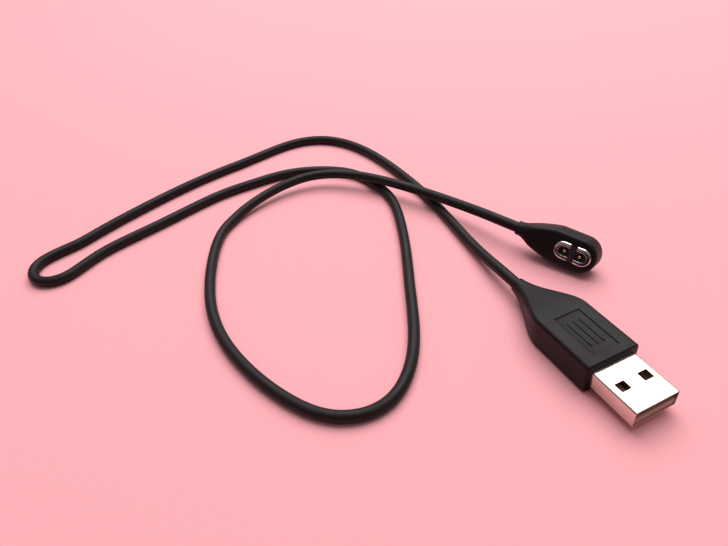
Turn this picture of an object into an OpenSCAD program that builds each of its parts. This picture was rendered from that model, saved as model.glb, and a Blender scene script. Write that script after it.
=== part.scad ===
// USB-A charging lead with a two-pin magnetic head, for a wrist-worn tracker.
// Millimetres. The plug's grip rests on the plane z = 0, +X is the way the plug goes in, +Z is up.
// The origin is the middle of the grip's flat underside.

/* [USB shell] */
// Width of the steel shell
shell_w = 12; // [11.9:0.05:12.1]
// Thickness of the steel shell
shell_h = 4.5; // [4.4:0.05:4.6]
// Thickness of the shell's sheet steel
shell_sheet = 0.3; // [0.25:0.01:0.35]
// Length of shell that stands out of the grip
shell_reach = 12.3; // [11.7:0.1:13]
// Length of shell that is held inside the grip
shell_seat = 5.5; // [4:0.1:7]
// Outside radius of the shell's long edges
shell_corner = 0.6; // [0.4:0.05:0.8]
// Width of a latch window, across the shell
window_w = 2.5; // [2:0.1:2.7]
// Length of a latch window, along the shell
window_l = 2.3; // [1.8:0.1:2.5]
// Distance between the two windows of one face
window_pitch = 6.2; // [5.5:0.1:6.5]
// Distance from the shell's mouth to the windows
window_setback = 5.2; // [5:0.1:6]

/* [Contact carrier] */
// Thickness of the tongue that carries the contacts
tongue_h = 1.9; // [1.8:0.05:2]
// Distance from the shell's mouth to the tongue's front
tongue_setback = 0.2; // [0.1:0.1:0.8]
// Depth of the open mouth above the tongue
mouth_depth = 10.8; // [9:0.1:11.5]
// Play between the carrier and the shell, on each side
carrier_gap = 0.05; // [0.03:0.01:0.1]

/* [USB contacts] */
// Width of a contact strip
contact_w = 1; // [0.9:0.05:1.1]
// Thickness of a contact strip
contact_t = 0.25; // [0.2:0.01:0.3]
// Depth of the slots that the contacts lie in
contact_sink = 0.15; // [0.1:0.01:0.18]
// Distance between the two data contacts
data_pitch = 2; // [1.9:0.05:2.1]
// Distance from a data contact to the power contact beside it
power_pitch = 2.5; // [2.4:0.05:2.6]
// Distance from the tongue's front to the power contacts
power_setback = 1.2; // [1:0.1:1.5]
// Distance from the tongue's front to the data contacts
data_setback = 2.2; // [2:0.1:2.5]
// Length of the solder tails behind the carrier
tail_l = 2.5; // [2:0.1:3.5]

/* [Plug grip] */
// Width of the grip
grip_w = 14.4; // [14:0.1:16]
// Thickness of the grip
grip_h = 8; // [7.5:0.1:9]
// Length of the straight part of the grip
grip_l = 16; // [14:0.5:20]
// Length of the taper behind the straight part
taper_l = 16; // [12:0.2:20]
// Length of the round neck that the cord comes out of
neck_l = 0.5; // [0.3:0.1:4]
// Wall of both necks around the cord
neck_wall = 0.5; // [0.4:0.05:0.9]
// Radius of the grip's long edges
grip_edge = 1; // [0.6:0.1:1.5]
// Radius of the grip's front edges
grip_front_edge = 0.4; // [0.2:0.05:0.6]

/* [Grip panel] */
// Length of the sunk panel on the grip's top
panel_l = 12.8; // [10:0.1:13.5]
// Width of the sunk panel
panel_w = 7.3; // [6:0.1:9]
// Depth of the sunk panel
panel_depth = 0.3; // [0.2:0.05:0.4]
// Distance from the grip's front to the panel
panel_setback = 2.3; // [1.6:0.1:3]
// Number of plain raised bars in the panel
bar_count = 3; // [2:1:4]
// Length of a raised bar
bar_l = 8; // [6:0.5:9]
// Width of a raised bar
bar_w = 0.5; // [0.4:0.05:0.7]
// Height of a raised bar above the panel's floor
bar_h = 0.2; // [0.1:0.05:0.2]
// Distance between the raised bars
bar_pitch = 1.7; // [1.2:0.1:1.9]

/* [Plug inner mould] */
// Length of the hard inner mould behind the shell
mould_l = 8.5; // [7:0.1:9]
// Width of the inner mould
mould_w = 10.6; // [9.4:0.1:11]
// Thickness of the inner mould
mould_h = 5.2; // [4.6:0.1:5.6]

/* [Cord] */
// Diameter of the cord
cord_d = 3; // [2.8:0.1:3.2]
// Straight length of the cord at each exit
cord_lead = 7; // [6:0.5:8]
// Diameter of an insulated wire
wire_d = 0.9; // [0.8:0.05:1]
// Distance between the two wires inside the cord
wire_pitch = 1; // [1:0.05:1.15]
// Diameter of the channel for the wires in each neck
wire_channel_d = 2.2; // [2.2:0.1:2.4]

/* [Magnetic head] */
// Length of the head from its neck end to its tip
head_l = 23.3; // [22:0.1:28]
// Width of the head across its contact face
head_w = 9.3; // [8.6:0.1:11]
// Thickness of the head
head_t = 6; // [5.8:0.1:7]
// Radius of the head's edges
head_edge = 0.9; // [0.6:0.1:1.2]
// Length of the head's round neck before it widens
head_neck_l = 1; // [0.5:0.1:3]
// Length over which the head widens
head_taper_l = 10.5; // [9:0.1:11]
// Length over which the head thickens
head_swell_l = 4.5; // [4:0.5:6]

/* [Head position] */
// Position of the head's neck end along X
head_x = -41.8; // [-44:0.1:-40]
// Position of the head's neck end along Y
head_y = 13.3; // [12:0.1:15]
// Turn of the head about the vertical
head_yaw = 25; // [23:1:28]
// Slope of the head along its length, tip down
head_dip = 4; // [3:0.5:5]
// Height angle of the way the contact face looks
head_lean = 17; // [10:1:25]

/* [Head contact face] */
// Length of the oval formed by the two magnets
oval_l = 10.3; // [10:0.1:11]
// Width of the oval
oval_w = 5.2; // [4.8:0.1:5.4]
// Distance from the head's tip to the oval
oval_setback = 1.2; // [1.1:0.1:3]
// Width of a magnet's C-shaped band
band_w = 1.3; // [1.1:0.05:1.4]
// Thickness of the magnets
magnet_t = 1.8; // [1.5:0.1:2]
// Height of the magnets above the head's face
magnet_proud = 0.25; // [0.2:0.05:0.35]
// Bevel on the magnets' outer edge
magnet_bevel = 0.3; // [0.2:0.05:0.4]
// Bevel on the magnets' inner edge
magnet_inner_bevel = 0.1; // [0.05:0.05:0.2]
// Gap between the two magnets
magnet_split = 1.7; // [1.4:0.1:2]
// Thickness of the steel yoke under the magnets
yoke_t = 0.4; // [0.3:0.05:0.6]
// Depth of the pin floor below the head's face
floor_depth = 0.7; // [0.5:0.05:0.9]
// Distance of the block's middle bar below the head's face
bridge_inset = 0.05; // [0.02:0.01:0.2]
// Play around each piece that is set into the head
seat_gap = 0.02; // [0.01:0.01:0.04]

/* [Spring pins] */
// Distance between the two pins
pin_pitch = 4.2; // [4:0.1:4.6]
// Outside diameter of a pin's barrel
barrel_d = 1.4; // [1.35:0.05:1.5]
// Thickness of a barrel's floor and lip
barrel_end = 0.3; // [0.2:0.05:0.4]
// Thickness of the block's pin floor above the barrels
barrel_cover = 0.3; // [0.2:0.05:0.4]
// Diameter of the plunger's tip
plunger_d = 0.8; // [0.7:0.05:0.85]
// Diameter of the plunger's shoulder inside the barrel
shoulder_d = 1; // [0.95:0.05:1.05]
// Length of the plunger's shoulder
shoulder_l = 1.2; // [0.8:0.1:1.3]
// Radial play of a plunger in its barrel
pin_play = 0.03; // [0.02:0.01:0.05]
// Height of a plunger's tip above the pin floor
pin_reach = 0.95; // [0.9:0.05:1.05]
// Wire diameter of a pin's spring
spring_wire = 0.15; // [0.1:0.01:0.2]

/* [Head inner pieces] */
// Thickness of the circuit board
board_t = 0.8; // [0.6:0.1:0.8]
// Width of the circuit board
board_w = 5.4; // [4.8:0.1:5.6]
// Length of the circuit board
board_l = 13; // [12.6:0.1:13.2]
// Thickness of the head's back wall behind the board
back_wall = 0.8; // [0.7:0.05:1]
// Length of the head's inner mould
head_mould_l = 4.6; // [4:0.1:5]
// Width of the head's inner mould
head_mould_w = 4.8; // [4.2:0.1:5]
// Height of the head's inner mould above the head's axis
head_mould_rise = 1.5; // [1.2:0.1:1.6]
// Distance between the two wires where they meet the board
board_wire_pitch = 2.6; // [2.2:0.1:3]

/* [Hidden] */

$fn = 48;
// Overlap of a cutting tool past the face that it cuts
cut = 1;
// Least flat left between two rounded edges of a swept section
edge_flat = 0.02;
// Number of sides of the cord and of the wires
tube_sides = 8;

black = [0.13, 0.12, 0.12];
dark_block = [0.07, 0.07, 0.075];
natural = [0.78, 0.74, 0.68];
nickel = [0.80, 0.79, 0.77];
gold = [0.83, 0.66, 0.34];

// Plug: places along X, and the height of its axis
front_x = grip_l / 2;
back_x = -grip_l / 2;
neck_d = cord_d + 2 * neck_wall;
plug_exit_x = back_x - taper_l - neck_l;
axis_z = grip_h / 2;
mouth_x = front_x + shell_reach;
seat_x = front_x - shell_seat;
tongue_front_x = mouth_x - tongue_setback;
tongue_z = axis_z - shell_h / 2 + shell_sheet;
contact_z = tongue_z + tongue_h - contact_sink;
tail_x = seat_x - tail_l;
power_y = data_pitch / 2 + power_pitch;
panel_z = grip_h - panel_depth;
mould_x = seat_x - mould_l;

// Wires: height of the axis above what they lie on, length of a bend, and the play at their ends
wire_rise = wire_d / 2 * cos(180 / tube_sides);
wire_bend = 2;
wire_end = 0.3;

// Head: places in its own frame, x from neck to tip, y across the face, z out of the face
face_z = head_t / 2;
oval_x = head_l - oval_setback - oval_l / 2;
magnet_top = face_z + magnet_proud;
magnet_z = magnet_top - magnet_t;
yoke_z = magnet_z - yoke_t;
board_z = -face_z + back_wall;
block_z = board_z + board_t;
floor_z = face_z - floor_depth;
barrel_top = floor_z - barrel_cover;
lip_z = barrel_top - barrel_end;
spring_z = block_z + barrel_end;
head_mould_x = oval_x - oval_l / 2 - seat_gap - head_mould_l;

// Inner edge of the magnets' oval
inner_l = oval_l - 2 * band_w;
inner_w = oval_w - 2 * band_w;

// Play between a plunger's shoulder and its barrel's lip
pin_stop = 0.02;
shoulder_z = lip_z - pin_stop - shoulder_l;

// Distance that the board stops short of the oval's end, towards the tip
board_short = 0.5;
board_x = oval_x + oval_l / 2 - board_short - board_l;

// Head: its lowest point lies on z = 0
head_axis = [cos(head_yaw) * cos(head_dip), sin(head_yaw) * cos(head_dip), -sin(head_dip)];
face_rise = sin(head_lean) * cos(head_dip);
width_rise = cos(head_lean) * cos(head_dip);
head_z = head_edge + (face_z - head_edge) * face_rise
    + (head_w / 2 - head_edge) * sqrt(width_rise ^ 2 + sin(head_dip) ^ 2)
    + (head_l - head_w / 2) * sin(head_dip);
head_exit = [head_x, head_y, head_z];

// Height of the cord's axis where it lies down, and where it passes over itself
lie = cord_d / 2;
over = 1.45 * cord_d;

// Cord: control points of a smooth curve, chosen by hand, between the two exits
cord_points = [
    [-46, 1.5, lie], [-71, 4.5, lie], [-88.5, 4.5, lie], [-109.5, 3, lie], [-124.5, -1.5, lie],
    [-133.5, -9.5, lie], [-136, -21.5, lie], [-131, -38, lie], [-128.5, -58, lie],
    [-114.5, -93, lie], [-110, -99, lie], [-108, -113, lie], [-97.5, -114.5, lie],
    [-92.5, -105.5, lie], [-102.5, -95, lie], [-106.5, -76.5, lie], [-115, -54, lie],
    [-115, -40.5, lie], [-116, -27, lie], [-105, -8.5, lie], [-90, -6, lie], [-79.5, -5, lie],
    [-55, -15, lie], [-40.5, -22.5, lie], [-19.5, -32, lie], [-8, -44, lie], [-9.5, -55.5, lie],
    [-17.5, -63.5, lie], [-38, -71.5, lie], [-61, -73, lie], [-91, -61.5, lie],
    [-96.5, -54.5, lie], [-102, -46.5, 2.6], [-108, -23, over], [-90.5, -5.5, 4.9], [-59, 9, 4.9]
];
cord_route = concat(
    [[plug_exit_x, 0, axis_z], [plug_exit_x - cord_lead, 0, axis_z]],
    cord_points,
    [head_exit - cord_lead * head_axis, head_exit]
);

// ---------- Functions ----------

function unit(v) = v / norm(v);

// S-shaped blend from 0 to 1
function ease(t) = t * t * (3 - 2 * t);

// Blend from 0 to 1 that starts as softly as ease and ends nearly straight
function flare(t) = (1 - t / 2) * ease(t) + t / 2 * t;

// Route with a phantom point before and behind, so that the curve starts and ends on its end points
function padded(p) = concat(
    [2 * p[0] - p[1]], p, [2 * p[len(p) - 1] - p[len(p) - 2]]);

// Point and direction of a cubic B-spline on q, from span i, at t from 0 to 1
function spline_at(q, i, t) =
    ((1 - t) ^ 3 * q[i] + (3 * t ^ 3 - 6 * t ^ 2 + 4) * q[i + 1]
    + (-3 * t ^ 3 + 3 * t ^ 2 + 3 * t + 1) * q[i + 2] + t ^ 3 * q[i + 3]) / 6;
function spline_way(q, i, t) = unit(
    -(1 - t) ^ 2 * q[i] + (3 * t ^ 2 - 4 * t) * q[i + 1]
    + (-3 * t ^ 2 + 2 * t + 1) * q[i + 2] + t ^ 2 * q[i + 3]);

// [place, direction] of every ring along a route, with steps rings to each span
function spline_rings(p, steps) = let (q = padded(p), last = len(q) - 4) concat(
    [for (i = [0:last], k = [0:steps - 1]) [spline_at(q, i, k / steps), spline_way(q, i, k / steps)]],
    [[spline_at(q, last, 1), spline_way(q, last, 1)]]);

// Points of one ring of a round tube
function ring_points(ring, r) =
    let (side = unit(cross([0, 0, 1], ring[1])), up = cross(ring[1], side))
    [for (k = [0:tube_sides - 1]) let (a = (k + 0.5) * 360 / tube_sides)
        ring[0] + r * (cos(a) * side + sin(a) * up)];

// Faces that join rows of n points into one closed skin, without the two ends
function skin_faces(rows, n) = [
    for (i = [0:rows - 2], j = [0:n - 1]) let (k = (j + 1) % n)
        [i * n + j, i * n + k, (i + 1) * n + k, (i + 1) * n + j]];

// ---------- Shared shapes ----------

module tube(route, d, steps) {
    rings = spline_rings(route, steps);
    last = (len(rings) - 1) * tube_sides;
    polyhedron(
        points = [for (ring = rings) each ring_points(ring, d / 2)],
        faces = concat(
            [[for (k = [0:tube_sides - 1]) k]],
            [for (f = skin_faces(len(rings), tube_sides)) [f[3], f[2], f[1], f[0]]],
            [[for (k = [tube_sides - 1:-1:0]) last + k]]
        ),
        convexity = 10
    );
}

// Rectangle with round corners, made of true arcs
module round_rect(w, h, r) {
    square([w - 2 * r, h], center = true);
    square([w, h - 2 * r], center = true);
    for (x = [-1, 1], y = [-1, 1])
        translate([x * (w / 2 - r), y * (h / 2 - r)])
            circle(r);
}

// Oval with two straight sides
module stadium(l, w) {
    square([l - w, w], center = true);
    for (x = [-1, 1])
        translate([x * (l - w) / 2, 0])
            circle(w / 2);
}

// Oval that grows by grow on every side over its height
module flared_stadium(l, w, h, grow) {
    for (x = [-1, 1])
        translate([x * (l - w) / 2, 0, 0])
            cylinder(h = h, r1 = w / 2, r2 = w / 2 + grow);
    translate([-(l - w) / 2, 0, 0])
        rotate([90, 0, 90])
            linear_extrude(l - w)
                polygon([[-w / 2, 0], [w / 2, 0], [w / 2 + grow, h], [-w / 2 - grow, h]]);
}

// Box that is centred across the plug's axis, from x0 to x1 and z0 to z1
module span(x0, x1, w, z0, z1, y = 0) {
    translate([x0, y - w / 2, z0])
        cube([x1 - x0, w, z1 - z0]);
}

module at_head() {
    translate(head_exit)
        rotate([90 - head_lean, head_dip, head_yaw])
            children();
}

module at_pin(side) {
    at_head()
        translate([oval_x + side * pin_pitch / 2, 0, 0])
            children();
}

// ---------- USB plug ----------

module usb_shell() {
    color(nickel)
    difference() {
        translate([seat_x, 0, axis_z])
            rotate([90, 0, 90])
                linear_extrude(shell_seat + shell_reach)
                    difference() {
                        round_rect(shell_w, shell_h, shell_corner);
                        round_rect(shell_w - 2 * shell_sheet, shell_h - 2 * shell_sheet,
                            shell_corner - shell_sheet);
                    }
        for (y = [-1, 1])
            span(mouth_x - window_setback - window_l, mouth_x - window_setback, window_w,
                -cut, grip_h + cut, y * window_pitch / 2);
    }
}

// Inside of the shell less the play, without what is cut away above the tongue
module carrier_shape() {
    inset = shell_sheet + carrier_gap;
    difference() {
        translate([seat_x, 0, axis_z])
            rotate([90, 0, 90])
                linear_extrude(tongue_front_x - seat_x)
                    round_rect(shell_w - 2 * inset, shell_h - 2 * inset, shell_corner - inset);
        span(mouth_x - mouth_depth, mouth_x, shell_w, tongue_z + tongue_h, grip_h);
    }
}

// Contact strip at y, whose front lies setback behind the tongue's front
module contact_strip(y, setback) {
    span(tail_x, tongue_front_x - setback, contact_w, contact_z, contact_z + contact_t, y);
}

module contact_carrier() {
    color(natural)
    difference() {
        carrier_shape();
        for (side = [-1, 1]) {
            contact_strip(side * data_pitch / 2, data_setback);
            contact_strip(side * power_y, power_setback);
        }
    }
}

module contact_vbus() {
    color(gold) contact_strip(power_y, power_setback);
}

module contact_data_minus() {
    color(gold) contact_strip(data_pitch / 2, data_setback);
}

module contact_data_plus() {
    color(gold) contact_strip(-data_pitch / 2, data_setback);
}

module contact_ground() {
    color(gold) contact_strip(-power_y, power_setback);
}

// Wire from the cord's end to the solder tail on its side
module plug_wire(side) {
    wire_z = contact_z + contact_t + wire_rise;
    near_y = side * wire_pitch / 2;
    far_y = side * power_y;
    tube([
        [plug_exit_x, near_y, axis_z],
        [(plug_exit_x + mould_x) / 2, near_y, axis_z],
        [mould_x, near_y, axis_z],
        [mould_x + wire_bend / 2, near_y, axis_z],
        [tail_x - wire_bend, far_y, wire_z],
        [tail_x - wire_bend / 4, far_y, wire_z],
        [seat_x - wire_end, far_y, wire_z]
    ], wire_d, 3);
}

module plug_wire_red() {
    color("firebrick") plug_wire(1);
}

module plug_wire_black() {
    color(black) plug_wire(-1);
}

module mould_shape() {
    span(mould_x, seat_x, mould_w, axis_z - mould_h / 2, axis_z + mould_h / 2);
}

module plug_inner_mould() {
    color(natural)
    difference() {
        mould_shape();
        for (side = [-1, 1]) {
            plug_wire(side);
            contact_strip(side * data_pitch / 2, data_setback);
            contact_strip(side * power_y, power_setback);
            // Solder pocket between a tail and the wire on it
            span(tail_x, seat_x - wire_end, wire_d / 2, contact_z,
                contact_z + contact_t + wire_rise, side * power_y);
        }
    }
}

// Section of the grip at x: half width w, half height h, corner radius r
function grip_section(x, w, h, r) = [
    for (c = [0:3], a = [0:15:90])
        let (angle = c * 90 + a, sy = (c == 0 || c == 3) ? 1 : -1, sz = c < 2 ? 1 : -1)
        [x, sy * (w - r) + r * cos(angle), axis_z + sz * (h - r) + r * sin(angle)]];

// Section where the grip is blended by share, from 0 at the neck to 1 at full size
function grip_blend(x, share) = let (n = neck_d / 2) grip_section(x,
    n + (grip_w / 2 - n) * share, n + (grip_h / 2 - n) * share,
    (n - edge_flat) * (1 - share) + grip_edge * share);

// Section near the front face, where an angle from 90 to 0 rounds the front edge
function grip_front(a) = let (e = grip_front_edge, inset = e * (1 - cos(a)))
    grip_section(front_x - e + e * sin(a), grip_w / 2 - inset, grip_h / 2 - inset, grip_edge);

module grip_shape() {
    steps = 14;
    rows = concat(
        [for (a = [90:-22.5:0]) grip_front(a)],
        [for (k = [0:steps]) grip_blend(back_x - taper_l * k / steps, 1 - flare(k / steps))],
        [grip_blend(plug_exit_x, 0)]
    );
    n = len(rows[0]);
    polyhedron(
        points = [for (row = rows) each row],
        faces = concat(
            [[for (k = [n - 1:-1:0]) k]],
            skin_faces(len(rows), n),
            [[for (k = [0:n - 1]) (len(rows) - 1) * n + k]]
        ),
        convexity = 6
    );
}

// Sunk panel with plain raised bars
module panel_cut() {
    panel_x = front_x - panel_setback - panel_l;
    difference() {
        span(panel_x, panel_x + panel_l, panel_w, panel_z, grip_h + cut);
        for (k = [0:bar_count - 1])
            span(panel_x + (panel_l - bar_l) / 2, panel_x + (panel_l + bar_l) / 2, bar_w,
                panel_z - cut, panel_z + bar_h, (k - (bar_count - 1) / 2) * bar_pitch);
    }
}

module plug_overmould() {
    color(black)
    difference() {
        grip_shape();
        panel_cut();
        mould_shape();
        translate([seat_x, 0, axis_z])
            rotate([90, 0, 90])
                linear_extrude(shell_seat + cut)
                    round_rect(shell_w, shell_h, shell_corner);
        translate([plug_exit_x - cut, 0, axis_z])
            rotate([0, 90, 0])
                cylinder(h = mould_x - plug_exit_x + 2 * cut, d = wire_channel_d);
    }
}

// ---------- Cord ----------

module cord() {
    color(black) tube(cord_route, cord_d, 2);
}

// ---------- Magnetic head ----------

// How far x has come along a stretch of length l behind the head's neck, from 0 to 1
function head_way(x, l) = min(max((x - head_neck_l) / l, 0), 1);

// How far the head has widened at x, and how far it has thickened, each from 0 at its neck to 1
function head_share(x) = let (way = head_way(x, head_taper_l)) (way + ease(way)) / 2;
function head_swell(x) = ease(head_way(x, head_swell_l));

// Outline of the head: [x, y, way across x, way across y] from neck to tip and back
function head_outline() =
    let (
        n = neck_d / 2, r = head_w / 2, body = 12, arc = 8,
        straight = [for (k = [0:body - 1]) let (x = k / body * (head_l - r))
            [x, n + (r - n) * head_share(x), 0, 1]],
        tip = [for (k = [0:arc]) let (a = 90 - 90 * k / arc)
            [head_l - r + r * cos(a), r * sin(a), cos(a), sin(a)]],
        half = concat(straight, tip)
    )
    concat(half, [for (k = [len(half) - 2:-1:0]) [half[k][0], -half[k][1], half[k][2], -half[k][3]]]);

// Outline point p at the rounding angle a of the edge below (side -1) or above (side 1)
function head_point(p, side, a) =
    let (
        n = neck_d / 2, swell = head_swell(p[0]),
        r = (n - edge_flat) * (1 - swell) + head_edge * swell,
        t = n + (face_z - n) * swell,
        inset = r * (1 - cos(a))
    )
    [p[0] - inset * p[2], p[1] - inset * p[3], side * (t - r) + r * sin(a)];

module head_shape() {
    outline = head_outline();
    n = len(outline);
    m = (n - 1) / 2;
    levels = concat(
        [for (a = [-90:22.5:0]) [-1, a]],
        [for (a = [0:22.5:90]) [1, a]]
    );
    top = (len(levels) - 1) * n;
    cap = concat(
        [for (k = [0:m - 2]) [k, k + 1, n - 2 - k, n - 1 - k]],
        [[m - 1, m, m + 1]]
    );
    polyhedron(
        points = [for (level = levels) each [for (p = outline) head_point(p, level[0], level[1])]],
        faces = concat(
            skin_faces(len(levels), n),
            [for (f = cap) [for (k = f) top + k]],
            [for (f = cap) [for (k = [len(f) - 1:-1:0]) f[k]]]
        ),
        convexity = 6
    );
}

module oval(l, w, z0, z1) {
    translate([oval_x, 0, z0])
        linear_extrude(z1 - z0)
            stadium(l, w);
}

module board_shape() {
    span(board_x, board_x + board_l, board_w, board_z, block_z);
}

module head_mould_shape() {
    span(head_mould_x, head_mould_x + head_mould_l, head_mould_w, block_z, head_mould_rise);
}

module head_overmould() {
    color(black)
    at_head()
    difference() {
        head_shape();
        oval(oval_l + 2 * seat_gap, oval_w + 2 * seat_gap, block_z, face_z + cut);
        board_shape();
        head_mould_shape();
        translate([-cut, 0, 0])
            rotate([0, 90, 0])
                cylinder(h = head_mould_x + 2 * cut, d = wire_channel_d);
    }
}

module contact_block() {
    color(dark_block)
    at_head()
    difference() {
        union() {
            oval(oval_l, oval_w, block_z, yoke_z);
            oval(inner_l - 2 * seat_gap, inner_w - 2 * seat_gap, yoke_z - cut / 2, floor_z);
            intersection() {
                oval(oval_l, oval_w, magnet_z, face_z - bridge_inset);
                span(oval_x - magnet_split / 2 + seat_gap, oval_x + magnet_split / 2 - seat_gap,
                    oval_w + cut, magnet_z, face_z);
            }
        }
        for (side = [-1, 1])
            translate([oval_x + side * pin_pitch / 2, 0, block_z - cut]) {
                cylinder(h = barrel_top - block_z + cut, d = barrel_d + 2 * seat_gap);
                cylinder(h = floor_z - block_z + 2 * cut, d = plunger_d + 2 * pin_play);
            }
    }
}

// Half of the magnet oval, on the neck's side (-1) or the tip's side (1)
module magnet(side) {
    b = magnet_bevel;
    i = magnet_inner_bevel;
    at_head()
    intersection() {
        difference() {
            union() {
                oval(oval_l, oval_w, magnet_z, magnet_top - b);
                translate([oval_x, 0, magnet_top - b])
                    flared_stadium(oval_l, oval_w, b, -b);
            }
            oval(inner_l, inner_w, magnet_z - cut, magnet_top + cut);
            translate([oval_x, 0, magnet_top - i])
                flared_stadium(inner_l, inner_w, i, i);
        }
        translate([oval_x + side * (magnet_split / 2 + oval_l / 2), 0, magnet_z + magnet_t / 2])
            cube([oval_l, oval_w + 2 * cut, magnet_t + 2 * cut], center = true);
    }
}

module magnet_left() {
    color(nickel) magnet(-1);
}

module magnet_right() {
    color(nickel) magnet(1);
}

module magnet_yoke() {
    color("dimgray")
    at_head()
    difference() {
        oval(oval_l, oval_w, yoke_z, magnet_z);
        oval(inner_l, inner_w, yoke_z - cut, magnet_z + cut);
    }
}

module pin_barrel(side) {
    color(gold)
    at_pin(side)
    difference() {
        translate([0, 0, block_z])
            cylinder(h = barrel_top - block_z, d = barrel_d);
        translate([0, 0, spring_z])
            cylinder(h = lip_z - spring_z, d = shoulder_d + 2 * pin_play);
        translate([0, 0, spring_z])
            cylinder(h = head_t, d = plunger_d + 2 * pin_play);
    }
}

module pin_plunger(side) {
    tip_r = plunger_d / 2;
    color(gold)
    at_pin(side) {
        translate([0, 0, shoulder_z])
            cylinder(h = shoulder_l, d = shoulder_d);
        translate([0, 0, shoulder_z + shoulder_l])
            cylinder(h = floor_z + pin_reach - tip_r - shoulder_z - shoulder_l, d = plunger_d);
        translate([0, 0, floor_z + pin_reach - tip_r])
            rotate_extrude()
                intersection() {
                    circle(tip_r);
                    square(tip_r);
                }
    }
}

// Closed coil of the spring, as the tube that its turns fill
module pin_spring(side) {
    spring_d = shoulder_d - 2 * pin_play;
    color("silver")
    at_pin(side)
    translate([0, 0, spring_z])
        difference() {
            cylinder(h = shoulder_z - spring_z, d = spring_d);
            translate([0, 0, -cut])
                cylinder(h = shoulder_z - spring_z + 2 * cut, d = spring_d - 2 * spring_wire);
        }
}

module pin_barrel_1() {
    pin_barrel(-1);
}

module pin_barrel_2() {
    pin_barrel(1);
}

module pin_spring_1() {
    pin_spring(-1);
}

module pin_spring_2() {
    pin_spring(1);
}

module pin_plunger_1() {
    pin_plunger(-1);
}

module pin_plunger_2() {
    pin_plunger(1);
}

module head_board() {
    color("darkgreen") at_head() board_shape();
}

// Wire from the cord's end to the board, in the head's own frame
module head_wire(side) {
    wire_z = block_z + wire_rise;
    near_y = side * wire_pitch / 2;
    far_y = side * board_wire_pitch / 2;
    tube([
        [0, near_y, 0],
        [head_mould_x / 2, near_y, 0],
        [head_mould_x, near_y, 0],
        [head_mould_x + wire_bend / 4, near_y, 0],
        [head_mould_x + wire_bend, far_y, wire_z],
        [head_mould_x + wire_bend * 3 / 2, far_y, wire_z],
        [head_mould_x + head_mould_l - wire_end, far_y, wire_z]
    ], wire_d, 3);
}

module head_inner_mould() {
    color(natural)
    at_head()
    difference() {
        head_mould_shape();
        for (side = [-1, 1])
            head_wire(side);
    }
}

module head_wire_red() {
    color("firebrick") at_head() head_wire(1);
}

module head_wire_black() {
    color(black) at_head() head_wire(-1);
}

usb_shell();
contact_carrier();
contact_vbus();
contact_data_minus();
contact_data_plus();
contact_ground();
plug_inner_mould();
plug_wire_red();
plug_wire_black();
plug_overmould();
cord();
head_overmould();
contact_block();
magnet_left();
magnet_right();
magnet_yoke();
pin_barrel_1();
pin_barrel_2();
pin_spring_1();
pin_spring_2();
pin_plunger_1();
pin_plunger_2();
head_board();
head_inner_mould();
head_wire_red();
head_wire_black();
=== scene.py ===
"""Looks of a USB charging lead with a magnetic two-pin head.

Every piece is modelled in millimetres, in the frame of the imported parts, and is turned to metres
when its mesh is finished. The plug's grip rests on z = 0, +X is the way the plug goes in and +Z
is up.
"""

import logging
import math
from dataclasses import dataclass
from enum import Enum
from typing import Any, Callable, Iterable

import bmesh
import bpy
from bmesh.types import BMEdge, BMesh, BMFace, BMVert
from mathutils import Matrix, Vector


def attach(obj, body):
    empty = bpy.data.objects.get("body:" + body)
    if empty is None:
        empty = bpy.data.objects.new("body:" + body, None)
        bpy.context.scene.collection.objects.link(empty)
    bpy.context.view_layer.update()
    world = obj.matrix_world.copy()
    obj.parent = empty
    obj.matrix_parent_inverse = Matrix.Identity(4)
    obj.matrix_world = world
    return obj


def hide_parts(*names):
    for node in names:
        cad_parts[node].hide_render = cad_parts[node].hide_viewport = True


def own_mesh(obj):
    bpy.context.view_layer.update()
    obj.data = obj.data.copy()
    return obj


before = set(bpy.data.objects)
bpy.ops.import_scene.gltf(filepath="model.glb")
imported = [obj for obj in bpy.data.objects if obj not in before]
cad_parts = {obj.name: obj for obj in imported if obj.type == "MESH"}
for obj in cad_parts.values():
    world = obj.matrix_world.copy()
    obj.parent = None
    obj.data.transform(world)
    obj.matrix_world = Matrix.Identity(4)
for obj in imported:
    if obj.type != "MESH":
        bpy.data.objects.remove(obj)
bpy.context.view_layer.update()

MM = 0.001
MERGE_MM = 1e-4
NEAR_MM = 0.01
SHARP_DEG = 34.0
STEEP_DEG = 60.0
NOISE_SPAN = (0.3, 0.7)

log = logging.getLogger("charging_lead")

Placer = Callable[[Vector], Vector]
Socket = bpy.types.NodeSocket
Span = tuple[float, float]
Triple = tuple[float, float, float]
Colour = tuple[float, float, float, float]
Rim = tuple[float, float, float, float]


# ---------- Helpers ----------


def linear(hex_colour: str) -> Colour:
    """Turns an sRGB hex colour into the linear colour that a shader takes.

    Args:
        hex_colour: The colour as "#rrggbb".

    Returns:
        Red, green, blue and an alpha of 1.
    """
    parts = [int(hex_colour[i : i + 2], 16) / 255 for i in (1, 3, 5)]
    red, green, blue = (c / 12.92 if c <= 0.04045 else ((c + 0.055) / 1.055) ** 2.4 for c in parts)
    return red, green, blue, 1.0


def per_metre(size_mm: float) -> float:
    """Gives the texture scale at which one feature of a pattern is size_mm across."""
    return 1.0 / (size_mm * MM)


def ease(t: float) -> float:
    """Blends from 0 to 1 along an S-shaped curve."""
    return t * t * (3 - 2 * t)


def flare(t: float) -> float:
    """Blends from 0 to 1 along a curve that starts as softly as ease and ends nearly straight."""
    return (1 - t / 2) * ease(t) + t / 2 * t


def quarter(steps: int) -> list[float]:
    """Gives the angles of a quarter turn in equal steps, from 0 to a right angle."""
    return [math.radians(90 * k / steps) for k in range(steps + 1)]


def about(middle: float, size: float) -> Span:
    """Gives the span of a size round its middle."""
    return middle - size / 2, middle + size / 2


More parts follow.
